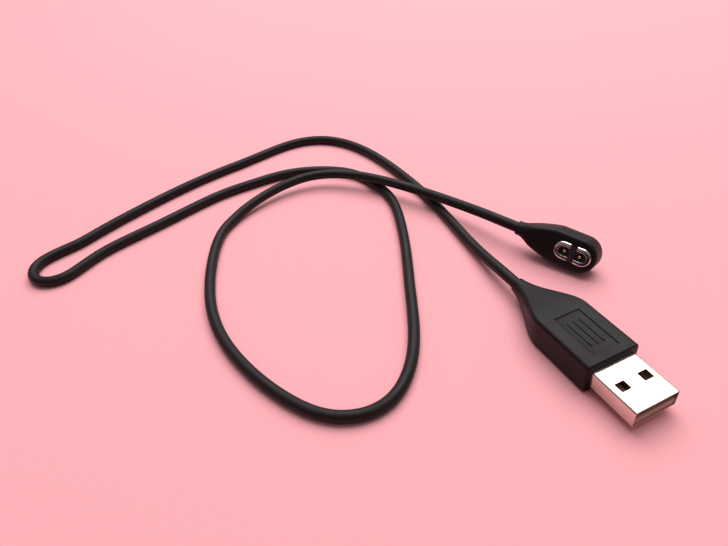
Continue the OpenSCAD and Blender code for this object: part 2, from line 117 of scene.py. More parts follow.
def near(place: float) -> Span:
    """Gives the narrow span that counts as being at a place."""
    return place - NEAR_MM, place + NEAR_MM


def feed(tree: bpy.types.NodeTree, node: bpy.types.Node, inputs: dict[Any, Any]) -> None:
    """Fills a node's inputs.

    Args:
        tree: The node's tree.
        node: The node.
        inputs: A value or an output socket for each input, by its name or place.
    """
    for key, value in inputs.items():
        if isinstance(value, Socket):
            tree.links.new(value, node.inputs[key])
        else:
            node.inputs[key].default_value = value


def add_node(
    tree: bpy.types.NodeTree, kind: str, inputs: dict[Any, Any] | None = None, **settings: Any
) -> bpy.types.Node:
    """Adds one node with its settings, constants and links.

    Args:
        tree: The node tree that gets the node.
        kind: Blender's name of the node type.
        inputs: A value or an output socket for each input, by its name or place.
        **settings: The node's own properties.

    Returns:
        The new node.
    """
    node = tree.nodes.new(kind)
    for name, value in settings.items():
        setattr(node, name, value)
    feed(tree, node, inputs or {})
    return node


def put(name: str, data: bpy.types.ID) -> bpy.types.Object:
    """Adds an object that shows some data to the scene."""
    thing = bpy.data.objects.new(name, data)
    bpy.context.scene.collection.objects.link(thing)
    return thing


# ---------- Finishes ----------


class Recipe:
    """A material in the making, whose patterns are sized in millimetres."""

    def __init__(self, name: str) -> None:
        """Starts a material.

        Args:
            name: The material's name.
        """
        self.material = bpy.data.materials.new(name)
        self.material.use_nodes = True
        self.tree = self.material.node_tree
        self.shader = self.tree.nodes["Principled BSDF"]
        self.where = add_node(self.tree, "ShaderNodeTexCoord").outputs["Object"]

    def noise(
        self, size_mm: float, detail: float, roughness: float = 0.5, where: Socket | None = None
    ) -> Socket:
        """Adds a cloudy pattern.

        Args:
            size_mm: How far across one of its features is.
            detail: How many finer layers it has.
            roughness: How strong the finer layers are.
            where: The place that it follows, or None for a point's place on the part.

        Returns:
            The pattern.
        """
        inputs = {"Vector": where or self.where, "Scale": per_metre(size_mm)}
        inputs |= {"Detail": detail, "Roughness": roughness}
        return add_node(self.tree, "ShaderNodeTexNoise", inputs).outputs[0]

    def spread(self, pattern: Socket, target: Span, source: Span = (0.0, 1.0)) -> Socket:
        """Stretches a pattern's values from one span over another."""
        inputs = {"Value": pattern, "From Min": source[0], "From Max": source[1]}
        inputs |= {"To Min": target[0], "To Max": target[1]}
        return add_node(self.tree, "ShaderNodeMapRange", inputs).outputs[0]

    def blend(self, share: Socket, first: Colour, second: Colour) -> Socket:
        """Mixes two colours by a pattern."""
        inputs = {0: share, 6: first, 7: second}
        return add_node(self.tree, "ShaderNodeMix", inputs, data_type="RGBA").outputs[2]

    def wire(
        self, height: Socket, strength: float, relief_mm: float, inputs: dict[str, Any]
    ) -> bpy.types.Material:
        """Links the relief and the surface's other inputs to the shader.

        Args:
            height: The relief's pattern.
            strength: How strongly the relief shows.
            relief_mm: Its depth.
            inputs: A value or an output socket for each other input of the shader.

        Returns:
            The finished material.
        """
        relief = {"Height": height, "Strength": strength, "Distance": relief_mm * MM}
        bump = add_node(self.tree, "ShaderNodeBump", relief)
        feed(self.tree, self.shader, {"Normal": bump.outputs[0], **inputs})
        return self.material


@dataclass(frozen=True)
class Elastomer:
    """Injection-moulded thermoplastic elastomer, with the fine grain of a spark-eroded mould.

    The grain breaks a highlight into a soft sheen, and handling leaves patches that are a little
    smoother.
    """

    name: str
    colour: str = "#171012"
    rubbed: str = "#1e1618"
    roughness: float = 0.44
    swing: float = 0.06
    grain_mm: float = 0.22
    grain_strength: float = 0.35
    relief_mm: float = 0.02
    handled_mm: float = 7.0
    index: float = 1.5
    gloss: float = 0.17

    def material(self) -> bpy.types.Material:
        """Builds the material."""
        recipe = Recipe(self.name)
        handled = recipe.noise(self.handled_mm, detail=3.0, roughness=0.6)
        inputs = {
            "Base Color": recipe.blend(handled, linear(self.colour), linear(self.rubbed)),
            "Roughness": recipe.spread(handled, about(self.roughness, 2 * self.swing), NOISE_SPAN),
            "IOR": self.index,
            "Specular IOR Level": self.gloss,
        }
        grain = recipe.noise(self.grain_mm, detail=2.0, roughness=0.55)
        return recipe.wire(grain, self.grain_strength, self.relief_mm, inputs)


@dataclass(frozen=True)
class CordJacket:
    """Extruded elastomer jacket, with faint lines from the die along it and a soft, broad highlight."""

    name: str
    colour: str = "#1a1214"
    bent: str = "#21181a"
    roughness: Span = (0.4, 0.52)
    line_mm: float = 0.25
    stretch: float = 40.0
    pore_mm: float = 0.3
    wander_mm: float = 9.0
    relief_strength: float = 0.25
    relief_mm: float = 0.02
    index: float = 1.5
    gloss: float = 0.2

    def material(self) -> bpy.types.Material:
        """Builds the material, whose patterns follow the cord through its UV map in metres."""
        recipe = Recipe(self.name)
        along = add_node(recipe.tree, "ShaderNodeUVMap", uv_map=Lead.UV_NAME).outputs[0]
        scale = (per_metre(self.line_mm), per_metre(self.line_mm * self.stretch), 1.0)
        stretched = add_node(recipe.tree, "ShaderNodeMapping", {"Vector": along, "Scale": scale})
        lines = recipe.noise(1 / MM, detail=2.0, where=stretched.outputs[0])
        pores = recipe.noise(self.pore_mm, detail=2.0, where=along)
        wander = recipe.noise(self.wander_mm, detail=2.0, where=along)
        height = add_node(recipe.tree, "ShaderNodeMath", {0: lines, 1: pores}, operation="ADD")
        inputs = {
            "Base Color": recipe.blend(wander, linear(self.colour), linear(self.bent)),
            "Roughness": recipe.spread(wander, self.roughness, NOISE_SPAN),
            "IOR": self.index,
            "Specular IOR Level": self.gloss,
        }
        return recipe.wire(height.outputs[0], self.relief_strength, self.relief_mm, inputs)


@dataclass(frozen=True)
class PlatedMetal:
    """Plated metal, either rolled sheet with faint lines along X or a tumbled part with fine scuffs.

    Lines or scuffs spread a highlight a little, and faint smears change its sharpness from place
    to place.
    """

    name: str
    colour: str
    roughness: float
    smear: float = 0.05
    smear_mm: float = 3.0
    smear_shade: float = 0.86
    smear_span: Span = (0.35, 0.7)
    line_mm: float = 0.12
    stretch: float = 25.0
    relief_strength: float = 0.3
    relief_mm: float = 0.002

    def material(self) -> bpy.types.Material:
        """Builds the material."""
        recipe = Recipe(self.name)
        scale = (1 / self.stretch, 1.0, 1.0)
        along = add_node(recipe.tree, "ShaderNodeMapping", {"Vector": recipe.where, "Scale": scale})
        lines = recipe.noise(self.line_mm, detail=3.0, where=along.outputs[0])
        smears = recipe.noise(self.smear_mm, detail=4.0, roughness=0.6)
        colour = linear(self.colour)
        darker = (*(c * self.smear_shade for c in colour[:3]), 1.0)
        rough = (self.roughness, self.roughness + self.smear)
        inputs = {
            "Base Color": recipe.blend(smears, colour, darker),
            "Roughness": recipe.spread(smears, rough, self.smear_span),
            "Metallic": 1.0,
        }
        return recipe.wire(lines, self.relief_strength, self.relief_mm, inputs)


@dataclass(frozen=True)
class HardPlastic:
    """Filled plastic with a fine, even mottle: hard mouldings, board laminate and wire insulation."""

    name: str
    colour: str
    flecks: str
    roughness: float = 0.5
    swing: float = 0.06
    fleck_mm: float = 0.3
    relief_strength: float = 0.2
    relief_mm: float = 0.01

    def material(self) -> bpy.types.Material:
        """Builds the material."""
        recipe = Recipe(self.name)
        mottle = recipe.noise(self.fleck_mm, detail=3.0)
        inputs = {
            "Base Color": recipe.blend(mottle, linear(self.colour), linear(self.flecks)),
            "Roughness": recipe.spread(mottle, about(self.roughness, 2 * self.swing)),
        }
        return recipe.wire(mottle, self.relief_strength, self.relief_mm, inputs)


class Finish(Enum):
    """The finishes of the lead's pieces."""

    OVERMOULD = Elastomer("overmould_elastomer_moulded")
    JACKET = CordJacket("jacket_elastomer_extruded")
    SHELL = PlatedMetal("shell_steel_nickel_plated", "#dfd6cc", 0.15, line_mm=0.15, relief_mm=0.001)
    MAGNET = PlatedMetal("magnet_nickel_plated_tumbled", "#dad6d0", 0.09, stretch=1.0, relief_mm=0.0006)
    CONTACT = PlatedMetal("contact_bronze_gold_plated", "#e8bd6a", 0.2)
    STEEL = PlatedMetal("steel_plain_stamped", "#8b8a88", 0.35)
    SPRING = PlatedMetal("spring_steel_drawn", "#b6b4b0", 0.28)
    BLOCK = HardPlastic("block_plastic_black_moulded", "#161617", "#1c1c1d", 0.5)
    # The tongue's pinkish brown is darker than pale plastic: painted shade and painted pink floor light
    # inside the mouth.
    CARRIER = HardPlastic("carrier_plastic_painted_shade", "#b08f82", "#a48477", 0.45)
    INNER = HardPlastic("inner_plastic_natural_moulded", "#d2c9bb", "#c5bbab", 0.5)
    BOARD = HardPlastic("board_laminate_solder_masked", "#0f4a2a", "#12572f", 0.35)
    RED_WIRE = HardPlastic("wire_insulation_red", "#a5201b", "#96190f", 0.4)
    BLACK_WIRE = HardPlastic("wire_insulation_black", "#1a1a1a", "#232222", 0.4)


MATERIALS: dict[Finish, bpy.types.Material] = {}


def material_of(finish: Finish) -> bpy.types.Material:
    """Gives a finish's material, which is built once."""
    if finish not in MATERIALS:
        MATERIALS[finish] = finish.value.material()
    return MATERIALS[finish]


# ---------- Mesh building ----------


def ring_verts(ring: Iterable[BMEdge]) -> list[BMVert]:
    """Gives the vertices of a ring of edges, each once."""
    return list({v for e in ring for v in e.verts})


def extrude_ring(bm: BMesh, ring: Iterable[BMEdge]) -> list[BMEdge]:
    """Extrudes rings of edges where they are and gives the new rings, for the caller to move."""
    made = bmesh.ops.extrude_edge_only(bm, edges=list(ring))["geom"]
    fresh = {g for g in made if isinstance(g, BMVert)}
    return [g for g in made if isinstance(g, BMEdge) and set(g.verts) <= fresh]


class RingSkin:
    """A skin that grows ring by ring, each ring an extruded copy of the last.

    Each vertex keeps its place on the first ring as a mark, from which every later ring is laid out.
    """

    def __init__(self, bm: BMesh, ring: Iterable[BMEdge]) -> None:
        """Starts at a closed ring of edges.

        Args:
            bm: The mesh that holds the ring.
            ring: The ring's edges.
        """
        self.bm = bm
        self.ring = list(ring)
        self.mark = bm.verts.layers.float_vector.new("mark")
        for vert in bm.verts:
            vert[self.mark] = vert.co

    def lay(self, place: Placer) -> "RingSkin":
        """Moves the last ring's vertices to where place puts their marks."""
        for vert in ring_verts(self.ring):
            vert.co = place(Vector(vert[self.mark]))
        return self

    def grow(self, place: Placer) -> "RingSkin":
        """Extrudes the last ring and lays out the new one."""
        self.ring = extrude_ring(self.bm, self.ring)
        return self.lay(place)

    def cap(self) -> "RingSkin":
        """Closes the last ring with a flat face."""
        bmesh.ops.contextual_create(self.bm, geom=self.ring)
        return self


def round_rectangle(
    width: float, height: float, radius: float, segments: int, cuts: Iterable[float] = ()
) -> BMesh:
    """Makes the outline of a rectangle with round corners, in the plane x = 0, centred on the X axis.

    Args:
        width: Size along Y.
        height: Size along Z.
        radius: Radius of the corners.
        segments: Edges in each corner.
        cuts: Places along Y that get a vertex on the long edges.

    Returns:
        A mesh of one closed ring of edges.
    """
    bm = bmesh.new()
    bmesh.ops.create_grid(bm, x_segments=1, y_segments=1, size=0.5)
    bmesh.ops.scale(bm, vec=(width, height, 1), verts=bm.verts)
    round_verts(bm, bm.verts[:], radius, segments)
    bmesh.ops.delete(bm, geom=bm.faces[:], context="FACES_ONLY")
    for y in cuts:
        bmesh.ops.bisect_plane(bm, geom=bm.verts[:] + bm.edges[:], plane_co=(y, 0, 0), plane_no=(1, 0, 0))
    upright = Matrix(((0, 0, 1, 0), (1, 0, 0, 0), (0, 1, 0, 0), (0, 0, 0, 1)))
    bmesh.ops.transform(bm, matrix=upright, verts=bm.verts)
    return bm


def stadium_ring(bm: BMesh, length: float, width: float, z: float, segments: int) -> list[BMEdge]:
    """Adds a closed ring in the shape of an oval with two straight sides.

    Args:
        bm: The mesh that gets the ring.
        length: The oval's size along X.
        width: Its size along Y.
        z: Its height.
        segments: Edges round its two ends.

    Returns:
        The ring's edges.
    """
    turn = Matrix.Translation((0, 0, z)) @ Matrix.Rotation(math.pi / segments, 4, "Z")
    verts = bmesh.ops.create_circle(bm, segments=segments, radius=width / 2, matrix=turn)["verts"]
    for vert in verts:
        vert.co.x += math.copysign((length - width) / 2, vert.co.x)
    return list({e for v in verts for e in v.link_edges})


def corner_section(mark: Vector, base: Triple, size: Triple) -> Span:
    """Carries a point of one round-cornered outline over to another.

    Args:
        mark: The point on the base outline, in Y and Z.
        base: Half width, half height and corner radius of the base outline.
        size: The same for the wanted outline.

    Returns:
        The point's Y and Z on the wanted outline.
    """
    radius, wanted = base[2], size[2]
    core = [max(radius - half, min(half - radius, c)) for half, c in zip(base, (mark.y, mark.z))]
    way = [(c - k) / radius for k, c in zip(core, (mark.y, mark.z))]
    share = [(s - wanted) / (half - radius) for s, half in zip(size[:2], base[:2])]
    return core[0] * share[0] + way[0] * wanted, core[1] * share[1] + way[1] * wanted


def faces_in(bm: BMesh, *spans: Span) -> list[BMFace]:
    """Finds the faces whose middle lies within a span along each of X, Y and Z."""
    return [
        f for f in bm.faces if all(low <= c <= high for (low, high), c in zip(spans, f.calc_center_median()))
    ]


def recess(bm: BMesh, faces: list[BMFace], profile: Iterable[Span]) -> None:
    """Steps a patch of faces inwards and along its normal, by the two sizes of each step."""
    for width, rise in profile:
        bmesh.ops.inset_region(bm, faces=faces, thickness=width, depth=rise, use_even_offset=True)


def box_mesh(bm: BMesh, low: Triple, high: Triple) -> list[BMVert]:
    """Adds a box between two corners and gives its vertices."""
    size = [b - a for a, b in zip(low, high)]
    middle = [(a + b) / 2 for a, b in zip(low, high)]
    place = Matrix.Translation(middle) @ Matrix.Diagonal((*size, 1))
    return bmesh.ops.create_cube(bm, size=1.0, matrix=place)["verts"]


def spin_edges(
    bm: BMesh, edges: list[BMEdge], x: float, angle: float, steps: int, up: int = 1, merge: bool = False
) -> list[BMEdge]:
    """Sweeps edges round an upright axis.

    Args:
        bm: The mesh.
        edges: The edges.
        x: The axis's place, on the X axis.
        angle: How far they go round.
        steps: Facets of the sweep.
        up: The side that they go round anticlockwise as seen from, 1 above and -1 below.
        merge: Whether the sweep closes on its start.

    Returns:
        The last copy's edges.
    """
    last = bmesh.ops.spin(
        bm, geom=edges, cent=(x, 0, 0), axis=(0, 0, up), angle=angle, steps=steps, use_merge=merge,
        use_duplicate=False, dvec=(0, 0, 0), space=Matrix.Identity(4),
    )  # fmt: skip
    return [g for g in last["geom_last"] if isinstance(g, BMEdge)]


def round_verts(bm: BMesh, verts: list[BMVert], offset: float, segments: int) -> None:
    """Rounds the corners of an outline."""
    bmesh.ops.bevel(
        bm, geom=verts, offset=offset, segments=segments, profile=0.5, affect="VERTICES", material=-1
    )


def soften(bm: BMesh, edges: Iterable[BMEdge], offset: float, segments: int = 2) -> None:
    """Rounds edges by a small bevel."""
    bmesh.ops.bevel(
        bm, geom=list(edges), offset=offset, segments=segments, profile=0.5, affect="EDGES", material=-1,
        clamp_overlap=True,
    )  # fmt: skip


def sharp_edges(bm: BMesh, least_deg: float = SHARP_DEG) -> list[BMEdge]:
    """Finds the edges that turn by more than an angle."""
    limit = math.radians(least_deg)
    return [e for e in bm.edges if len(e.link_faces) == 2 and e.calc_face_angle(0.0) > limit]


def finish_piece(
    bm: BMesh,
    name: str,
    body: str,
    finish: Finish,
    nodes: Iterable[str],
    local: Matrix | None = None,
    sharp_deg: float = SHARP_DEG,
) -> bpy.types.Object:
    """Turns a mesh in millimetres into a finished piece in metres.

    Args:
        bm: The mesh, which is freed.
        name: The piece's name.
        body: The CAD body that it rides on.
        finish: Its finish.
        nodes: The CAD nodes that it stands for.
        local: The frame that it was modelled in.
        sharp_deg: The angle past which an edge is shaded sharp.

    Returns:
        The piece's object.
    """
    bmesh.ops.remove_doubles(bm, verts=bm.verts, dist=MERGE_MM)
    bmesh.ops.recalc_face_normals(bm, faces=bm.faces)
    bmesh.ops.transform(bm, matrix=Matrix.Scale(MM, 4) @ (local or Matrix.Identity(4)), verts=bm.verts)
    for face in bm.faces:
        face.smooth = True
    mesh = bpy.data.meshes.new(name)
    bm.to_mesh(mesh)
    bm.free()
    mesh.set_sharp_from_angle(angle=math.radians(sharp_deg))
    mesh.materials.append(material_of(finish))
    piece = put(name, mesh)
    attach(piece, body)
    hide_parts(*nodes)
    log.info("%s: %d faces, rides on %s", name, len(mesh.polygons), body)
    return piece


# ---------- Camera and studio ----------


@dataclass
class Studio:
    """The camera, a pale pink floor and soft light from behind and above."""

    eye: tuple[float, float, float] = (65.3, -80.3, 105.8)
    forward: tuple[float, float, float] = (-0.712, 0.304, -0.634)
    roll_deg: float = -5.14
    lens_mm: float = 29.67
    sensor_mm: float = 36.0
    clip_m: Span = (0.005, 20.0)
    floor_size_mm: float = 20000.0
    floor_colour: str = "#fcb1b8"
    fibre_colour: str = "#faa9b0"
    fibre_mm: float = 0.8
    fibre_strength: float = 0.1
    fibre_relief_mm: float = 0.02
    floor_roughness: float = 0.8
    floor_gloss: float = 0.25
    key_way: tuple[float, float, float] = (-0.36, 0.3, 0.88)
    key_distance_mm: float = 900.0
    key_size_mm: float = 1120.0
    key_watts: float = 9.9
    lit_point: tuple[float, float, float] = (-60.0, -30.0, 0.0)
    sky: Span = (0.08, 0.45)
    sky_turn: Span = (-0.15, 0.85)
    sky_colour: Colour = (1.0, 0.985, 0.97, 1.0)

    def build_camera(self) -> bpy.types.Object:
        """Places the camera at the wanted viewing angle.

        Returns:
            The camera.
        """
        data = bpy.data.cameras.new("camera")
        data.lens = self.lens_mm
        data.sensor_width = self.sensor_mm
        data.clip_start, data.clip_end = self.clip_m
        camera = put("camera", data)
        aim = Vector(self.forward).to_track_quat("-Z", "Y").to_matrix().to_4x4()
        turn = Matrix.Rotation(math.radians(self.roll_deg), 4, "Z")
        camera.matrix_world = Matrix.Translation(Vector(self.eye) * MM) @ aim @ turn
        bpy.context.scene.camera = camera
        return camera

    def build_floor(self) -> bpy.types.Object:
        """Lays the plain floor.

        Returns:
            The floor.
        """
        bm = bmesh.new()
        bmesh.ops.create_grid(bm, x_segments=1, y_segments=1, size=self.floor_size_mm / 2 * MM)
        mesh = bpy.data.meshes.new("floor")
        bm.to_mesh(mesh)
        bm.free()
        recipe = Recipe("floor_paper_matt")
        fibre = recipe.noise(self.fibre_mm, detail=3.0)
        inputs = {
            "Base Color": recipe.blend(fibre, linear(self.floor_colour), linear(self.fibre_colour)),
            "Roughness": self.floor_roughness,
            "Specular IOR Level": self.floor_gloss,
        }
        mesh.materials.append(recipe.wire(fibre, self.fibre_strength, self.fibre_relief_mm, inputs))
        floor = put("floor", mesh)
        return floor

    def build_light(self) -> None:
        """Hangs one large soft lamp and fills the room with a dim glow, brighter towards the lamp."""
        data = bpy.data.lights.new("key", "AREA")
        data.shape = "DISK"
        data.size = self.key_size_mm * MM
        data.energy = self.key_watts
        key = put("key", data)
        way = Vector(self.key_way).normalized()
        aim = (-way).to_track_quat("-Z", "Y").to_matrix().to_4x4()
        place = Vector(self.lit_point) + way * self.key_distance_mm
        key.matrix_world = Matrix.Translation(place * MM) @ aim
        world = bpy.data.worlds.new("studio")
        bpy.context.scene.world = world
        world.use_nodes = True
        tree = world.node_tree
        where = add_node(tree, "ShaderNodeTexCoord").outputs["Generated"]
        facing = add_node(tree, "ShaderNodeVectorMath", {0: where, 1: way}, operation="DOT_PRODUCT")
        low, high = self.sky
        start, end = self.sky_turn
        inputs = {"Value": facing.outputs["Value"], "From Min": start, "From Max": end}
        inputs |= {"To Min": low, "To Max": high}
        glow = add_node(tree, "ShaderNodeMapRange", inputs, interpolation_type="SMOOTHSTEP")
        feed(tree, tree.nodes["Background"], {"Strength": glow.outputs[0], "Color": self.sky_colour})
        bpy.context.scene.view_settings.view_transform = "Standard"


# ---------- Cord ----------


@dataclass
class Lead:
    """The free cord between the plug's neck and the head's neck."""

    UV_NAME = "along"

    start: Vector
    end: Vector
    end_way: Vector
    diameter: float = 3.0
    lead_mm: float = 7.0
    crossing: float = 1.45
    sides: int = 24
    steps: int = 14

    def route(self) -> list[Vector]:
        """Gives the control points of the smooth curve that the cord lies along.

        The two at each end follow from the plug and the head. The x and y of the others were fitted
        by a program and rounded to half a millimetre, and their heights were chosen.

        Returns:
            The points, from the plug to the head.
        """
        lie, over = self.diameter / 2, self.crossing * self.diameter
        flat = [
            (-46, 1.5), (-71, 4.5), (-88.5, 4.5), (-109.5, 3), (-124.5, -1.5), (-133.5, -9.5),
            (-136, -21.5), (-131, -38), (-128.5, -58), (-114.5, -93), (-110, -99), (-108, -113),
            (-97.5, -114.5), (-92.5, -105.5), (-102.5, -95), (-106.5, -76.5), (-115, -54),
            (-115, -40.5), (-116, -27), (-105, -8.5), (-90, -6), (-79.5, -5), (-55, -15),
            (-40.5, -22.5), (-19.5, -32), (-8, -44), (-9.5, -55.5), (-17.5, -63.5), (-38, -71.5),
            (-61, -73), (-91, -61.5), (-96.5, -54.5),
        ]  # fmt: skip
        hump = [(-102, -46.5, 2.6), (-108, -23, over), (-90.5, -5.5, 4.9), (-59, 9, 4.9)]
        points = [self.start, self.start - Vector((self.lead_mm, 0, 0))]
        points += [Vector((x, y, lie)) for x, y in flat] + [Vector(p) for p in hump]
        return points + [self.end - self.end_way * self.lead_mm, self.end]

    def centreline(self) -> list[tuple[Vector, Vector]]:
        """Follows the route as a cubic B-spline that starts and ends on its end points.

        Returns:
            The place and direction at each step.
        """
        p = self.route()
        q = [2 * p[0] - p[1], *p, 2 * p[-1] - p[-2]]
        line = []
        for i in range(len(q) - 3):
            count = self.steps + (i == len(q) - 4)
            for k in range(count):
                t = k / self.steps
                place = (
                    (1 - t) ** 3 * q[i]
                    + (3 * t**3 - 6 * t**2 + 4) * q[i + 1]
                    + (-3 * t**3 + 3 * t**2 + 3 * t + 1) * q[i + 2]
                    + t**3 * q[i + 3]
                ) / 6
                way = (
                    -((1 - t) ** 2) * q[i]
                    + (3 * t**2 - 4 * t) * q[i + 1]
                    + (-3 * t**2 + 2 * t + 1) * q[i + 2]
                    + t**2 * q[i + 3]
                )
                line.append((place, way.normalized()))
        return line

    def build(self) -> bpy.types.Object:
        """Returns:
            The cord's piece.
        """
        line = self.centreline()
        bm = bmesh.new()
        bmesh.ops.create_circle(bm, segments=self.sides, radius=self.diameter / 2)
        skin = RingSkin(bm, bm.edges)
        run = bm.verts.layers.float.new("run")
        length = 0.0
        for k, (place, way) in enumerate(line):
            side = way.cross(Vector((0, 0, 1))).normalized()
            turn = Matrix((side, way.cross(side), way)).transposed()
            length += (place - line[max(k - 1, 0)][0]).length
            (skin.grow if k else skin.lay)(lambda mark, turn=turn, place=place: place + turn @ mark)
            for vert in ring_verts(skin.ring):
                vert[run] = length
        bmesh.ops.holes_fill(bm, edges=[e for e in bm.edges if e.is_boundary], sides=0)
        uv = bm.loops.layers.uv.new(self.UV_NAME)
        for face in bm.faces:
            around = [math.atan2(lp.vert[skin.mark].y, lp.vert[skin.mark].x) for lp in face.loops]
            wraps = max(around) - min(around) > math.pi
            for loop, angle in zip(face.loops, around):
                angle += math.tau if wraps and angle < 0 else 0
                loop[uv].uv = (angle * self.diameter / 2 * MM, loop.vert[run] * MM)
        piece = finish_piece(bm, "cord_jacket", "cable", Finish.JACKET, ["cord"])
        log.info("cord: %.1f mm long", length)
        return piece


# ---------- USB plug ----------


@dataclass
class UsbPlug:
    """The flat moulded grip with its steel shell, its tongue and four contacts."""

    shell_w: float = 12.0
    shell_h: float = 4.5
    shell_sheet: float = 0.3
    shell_reach: float = 12.3
    shell_corner: float = 0.6
    shell_sharp_deg: float = 20.0
    shell_root: float = 0.45
    mouth_lip: float = 0.04
    seam: float = 0.05
    seam_edge: float = 0.012
    seam_depth: float = 0.12
    window_w: float = 2.5
    window_l: float = 2.3
    window_pitch: float = 6.2
    window_setback: float = 5.2
    window_corner: float = 0.16
    window_edge: float = 0.05
    tongue_h: float = 1.9
    tongue_setback: float = 0.2
    mouth_depth: float = 10.8
    tongue_edge: float = 0.22
    carrier_gap: float = 0.05
    carrier_root: float = 0.4
    contact_w: float = 1.0
    contact_t: float = 0.25
    contact_sink: float = 0.15
    contact_tip: float = 0.2
    contact_edge: float = 0.03
    contact_play: float = 0.01
    contact_end_play: float = 0.02
    contact_lift: float = 0.005
    slot_draft: float = 0.004
    data_y: float = 1.0
    power_y: float = 3.5
    power_setback: float = 1.2
    data_setback: float = 2.2
    grip_w: float = 14.4
    grip_h: float = 8.0
    grip_l: float = 16.0
    taper_l: float = 16.0
    neck_l: float = 0.5
    neck_d: float = 4.0
    grip_edge: float = 1.0
    front_edge: float = 0.4
    edge_flat: float = 0.02
    pocket_depth: float = 0.5
    pocket_gap: float = 0.03
    pocket_lip: float = 0.06
    taper_steps: int = 32
    collar: float = 0.25
    cord_bite: float = 0.01
    panel_l: float = 12.8
    panel_w: float = 7.3
    panel_depth: float = 0.3
    panel_setback: float = 2.3
    bar_count: int = 3
    bar_l: float = 8.0
    bar_w: float = 0.5
    bar_h: float = 0.2
    bar_pitch: float = 1.7
    cord_d: float = 3.0

    @property
    def front_x(self) -> float:
        """Place of the grip's front face."""
        return self.grip_l / 2

    @property
    def mouth_x(self) -> float:
        """Place of the shell's mouth."""
        return self.front_x + self.shell_reach

    @property
    def axis_z(self) -> float:
        """Height of the plug's axis."""
        return self.grip_h / 2

    @property
    def tongue_x(self) -> float:
        """Place of the tongue's tip."""
        return self.mouth_x - self.tongue_setback

    @property
    def tongue_z(self) -> float:
        """Height of the tongue's top."""
        return self.axis_z - self.shell_h / 2 + self.shell_sheet + self.tongue_h

    @property
    def exit_x(self) -> float:
        """Place where the cord leaves the neck."""
        return -self.grip_l / 2 - self.taper_l - self.neck_l

    def exit(self) -> Vector:
        """Gives the point where the cord leaves the plug."""
        return Vector((self.exit_x, 0, self.axis_z))

    def contacts(self) -> dict[str, Span]:
        """Gives each contact's place across the tongue and how far it ends from the tip, by its node."""
        return {
            "contact_vbus": (self.power_y, self.power_setback),
            "contact_data_minus": (self.data_y, self.data_setback),
            "contact_data_plus": (-self.data_y, self.data_setback),
            "contact_ground": (-self.power_y, self.power_setback),
        }

    def section(self, x: float, w: float, h: float, r: float) -> Placer:
        """Gives the layout of a ring of the grip: half width w, half height h and corner radius r at x."""
        base = (self.grip_w / 2, self.grip_h / 2, self.grip_edge)

        def place(mark: Vector) -> Vector:
            y, z = corner_section(mark, base, (w, h, r))
            return Vector((x, y, self.axis_z + z))

        return place

    def build_grip(self) -> bpy.types.Object:
        """Moulds the grip from its front pocket back to its neck, then sinks the panel in its top.

        Returns:
            The grip's piece.
        """
        w, h, n = self.grip_w / 2, self.grip_h / 2, self.neck_d / 2
        bm = round_rectangle(
            self.grip_w, self.grip_h, self.grip_edge, segments=8, cuts=about(0, self.panel_w)
        )
        skin = RingSkin(bm, bm.edges)
        pocket = [s + self.pocket_gap for s in (self.shell_w / 2, self.shell_h / 2, self.shell_corner)]
        skin.lay(self.section(self.front_x - self.pocket_depth, *pocket)).cap()
        skin.grow(self.section(self.front_x - self.pocket_lip, *pocket))
        skin.grow(self.section(self.front_x, *(p + self.pocket_lip for p in pocket)))
        for a in reversed(quarter(6)):
            inset = self.front_edge * (1 - math.cos(a))
            x = self.front_x - self.front_edge * (1 - math.sin(a))
            skin.grow(self.section(x, w - inset, h - inset, self.grip_edge))
        panel_x1 = self.front_x - self.panel_setback
        panel_x0 = panel_x1 - self.panel_l
        for x in (panel_x1, panel_x0, -self.front_x):
            skin.grow(self.section(x, w, h, self.grip_edge))
        for k in range(1, self.taper_steps + 1):
            way = k / self.taper_steps
            share = 1 - flare(way)
            corner = (n - self.edge_flat) * (1 - share) + self.grip_edge * share
            size = (n + (w - n) * share, n + (h - n) * share, corner)
            skin.grow(self.section(-self.front_x - self.taper_l * way, *size))
        for a in quarter(5):
            r = n - self.collar * (1 - math.cos(a))
            x = self.exit_x + self.collar * (1 - math.sin(a))
            skin.grow(self.section(x, r, r, r - self.edge_flat))
        hole = self.cord_d / 2 - self.cord_bite
        skin.grow(self.section(self.exit_x, hole, hole, hole - self.edge_flat)).cap()
        bmesh.ops.recalc_face_normals(bm, faces=bm.faces)
        self.sink_panel(bm, panel_x0, panel_x1)
        return finish_piece(bm, "plug_grip", "cable", Finish.OVERMOULD, ["plug_overmould"])

    def sink_panel(self, bm: BMesh, x0: float, x1: float) -> None:
        """Sinks the panel in the grip's top and raises its plain bars.

        Args:
            bm: The grip's mesh.
            x0: The panel's end towards the cord.
            x1: Its end towards the shell.
        """
        top, floor = self.grip_h, self.grip_h - self.panel_depth
        across = about(0, self.panel_w)
        rim = ((0.03, -0.015), (0.015, -0.03))
        wall = (0.01, -self.panel_depth - 2 * sum(rise for _, rise in rim))
        recess(bm, faces_in(bm, (x0, x1), across, near(top)), (*rim, wall, *reversed(rim)))
        middle = (x0 + x1) / 2
        ys = [(k - (self.bar_count - 1) / 2) * self.bar_pitch for k in range(self.bar_count)]
        cuts = [((0, edge, 0), (0, 1, 0)) for y in ys for edge in about(y, self.bar_w)]
        cuts += [((edge, 0, 0), (1, 0, 0)) for edge in about(middle, self.bar_l)]
        for place, way in cuts:
            flat = faces_in(bm, (x0, x1), across, near(floor))
            geom = flat + list({e for f in flat for e in f.edges}) + list({v for f in flat for v in f.verts})
            bmesh.ops.bisect_plane(bm, geom=geom, plane_co=place, plane_no=way)
        foot, crown = (0.02, 0.03), ((0.03, 0.02), (0.04, 0.01))
        wall = (0.01, self.bar_h - sum(rise for _, rise in (foot, *crown)))
        for y in ys:
            bar = faces_in(bm, about(middle, self.bar_l), about(y, self.bar_w), near(floor))
            recess(bm, bar, (foot, wall, *crown))

